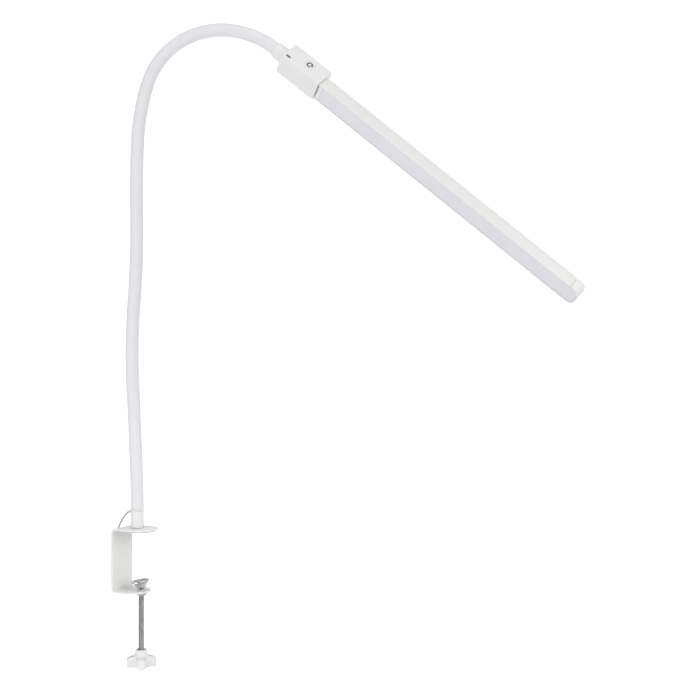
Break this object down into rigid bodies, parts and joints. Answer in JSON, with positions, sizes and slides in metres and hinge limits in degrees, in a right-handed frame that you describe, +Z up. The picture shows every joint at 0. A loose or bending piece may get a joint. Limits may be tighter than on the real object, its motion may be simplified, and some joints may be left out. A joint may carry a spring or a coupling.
{
  "type": "clamp-on gooseneck desk lamp",
  "caption": "Clamp-on desk lamp: bent steel C-clamp with a screw foot, a tall flexible gooseneck, and a square switch head that rolls and carries a long LED bar.",
  "frame": {"origin": "on the gooseneck's lower axis, at the underside of the upper jaw's pad, which rests on the desk top", "axes": "+Z up along the gooseneck's lower axis; +X from the clamp's web towards the jaw tips; the clamp is symmetric about the XZ plane; the gooseneck bends in an upright plane 17.4 degrees from +X towards +Y"},
  "size_m": [0.482, 0.1601, 0.6581],
  "materials": {
    "bracket": "satin powder coat",
    "pad": "matte",
    "bright_steel": "polished",
    "plain_steel": "satin",
    "moulding": "satin",
    "jacket": "satin",
    "nut": "satin",
    "washer": "matte",
    "channel": "satin white coat",
    "opal": "matte, opal",
    "window": "gloss",
    "dark_plastic": "matte",
    "board": "satin",
    "cord": "satin"
  },
  "bodies": {
    "clamp": {"clamp_bracket": "bracket", "jaw_pad": "pad", "screw_insert": "plain_steel", "neck_socket": "bracket", "socket_ring": "bracket", "socket_screw": "plain_steel", "cord_grommet": "pad", "neck_jacket_0": "jacket", "neck_core_0": "plain_steel", "power_cord": "cord", "cord_hank": "cord", "cord_tie": "dark_plastic", "cord_tail": "cord", "plug_body": "moulding", "plug_shell": "plain_steel"},
    "foot_carrier": {"swivel_ball": "bright_steel"},
    "cup": {"pressure_cup": "bright_steel"},
    "screw": {"clamp_screw": "bright_steel", "screw_knob": "moulding", "knob_cap": "moulding"},
    "neck_1": {"neck_jacket_1": "jacket", "neck_core_1": "plain_steel"},
    "neck_2": {"neck_jacket_2": "jacket", "neck_core_2": "plain_steel"},
    "neck_3": {"neck_jacket_3": "jacket", "neck_core_3": "plain_steel"},
    "neck_4": {"neck_jacket_4": "jacket", "neck_core_4": "plain_steel"},
    "neck_5": {"neck_jacket_5": "jacket", "neck_core_5": "plain_steel"},
    "neck_6": {"neck_jacket_6": "jacket", "neck_core_6": "plain_steel"},
    "neck_7": {"neck_jacket_7": "jacket", "neck_core_7": "plain_steel"},
    "neck_8": {"neck_jacket_8": "jacket", "neck_core_8": "plain_steel", "head_ferrule": "moulding", "friction_washer": "washer", "stud_nut": "nut"},
    "head": {"head_housing": "moulding", "head_cover": "moulding", "cover_screw_1": "plain_steel", "cover_screw_2": "plain_steel", "indicator_lens": "window", "control_board": "board", "tact_switch": "dark_plastic", "bar_housing": "channel", "bar_joiner": "plain_steel", "joiner_screw": "plain_steel", "led_strip": "board", "diffuser_clip": "moulding", "diffuser": "opal", "end_cap": "moulding"},
    "button": {"power_button": "moulding"}
  },
  "joints": [
    {"name": "screw_feed", "type": "slide", "parent": "clamp", "child": "foot_carrier", "axis": [0, 0, 1], "range_m": [0, 0.044]},
    {"name": "screw_turn", "type": "hinge", "parent": "foot_carrier", "child": "screw", "pos_m": [0.0051, 0, -0.0567], "axis": [0, 0, 1], "range_deg": [0, 15840]},
    {"name": "cup_tilt", "type": "hinge", "parent": "foot_carrier", "child": "cup", "pos_m": [0.0051, 0, -0.0567], "axis": [0.5878, -0.809, 0], "range_deg": [-18, 2]},
    {"name": "neck_bend_1", "type": "hinge", "parent": "clamp", "child": "neck_1", "pos_m": [-0.0006, -0.00019, 0.05599], "axis": [-0.299, 0.9542, 0], "range_deg": [-18, 18]},
    {"name": "neck_bend_2", "type": "hinge", "parent": "neck_1", "child": "neck_2", "pos_m": [-0.00435, -0.00136, 0.14591], "axis": [0.9529, 0.2986, 0.0523], "range_deg": [-18, 18]},
    {"name": "neck_bend_3", "type": "hinge", "parent": "neck_2", "child": "neck_3", "pos_m": [-0.00322, -0.00101, 0.23583], "axis": [-0.299, 0.9542, 0], "range_deg": [-18, 18]},
    {"name": "neck_bend_4", "type": "hinge", "parent": "neck_3", "child": "neck_4", "pos_m": [-0.0006, -0.00019, 0.32576], "axis": [0.9541, 0.299, 0.0175], "range_deg": [-18, 18]},
    {"name": "neck_bend_5", "type": "hinge", "parent": "neck_4", "child": "neck_5", "pos_m": [0.00034, 0.00011, 0.40074], "axis": [-0.299, 0.9542, 0], "range_deg": [-18, 18]},
    {"name": "neck_bend_6", "type": "hinge", "parent": "neck_5", "child": "neck_6", "pos_m": [0.01049, 0.00329, 0.4596], "axis": [-0.299, 0.9542, 0], "range_deg": [-18, 18]},
    {"name": "neck_bend_7", "type": "hinge", "parent": "neck_6", "child": "neck_7", "pos_m": [0.04279, 0.01341, 0.50139], "axis": [0.4771, 0.1495, -0.866], "range_deg": [-18, 18]},
    {"name": "neck_bend_8", "type": "hinge", "parent": "neck_7", "child": "neck_8", "pos_m": [0.08865, 0.02778, 0.51205], "axis": [-0.299, 0.9542, 0], "range_deg": [-18, 18]},
    {"name": "head_roll", "type": "hinge", "parent": "neck_8", "child": "head", "pos_m": [0.1391, 0.04359, 0.49042], "axis": [0.7363, 0.2307, -0.6361], "range_deg": [-135, 135]},
    {"name": "power_press", "type": "slide", "parent": "head", "child": "button", "axis": [-0.6284, 0.5819, -0.5163], "range_m": [0, 0.0006], "stiffness_N_per_m": 1200}
  ],
  "couplings": [
    {"joint": "screw_turn", "follows": "screw_feed", "rad_per_m": 6283.2}
  ]
}
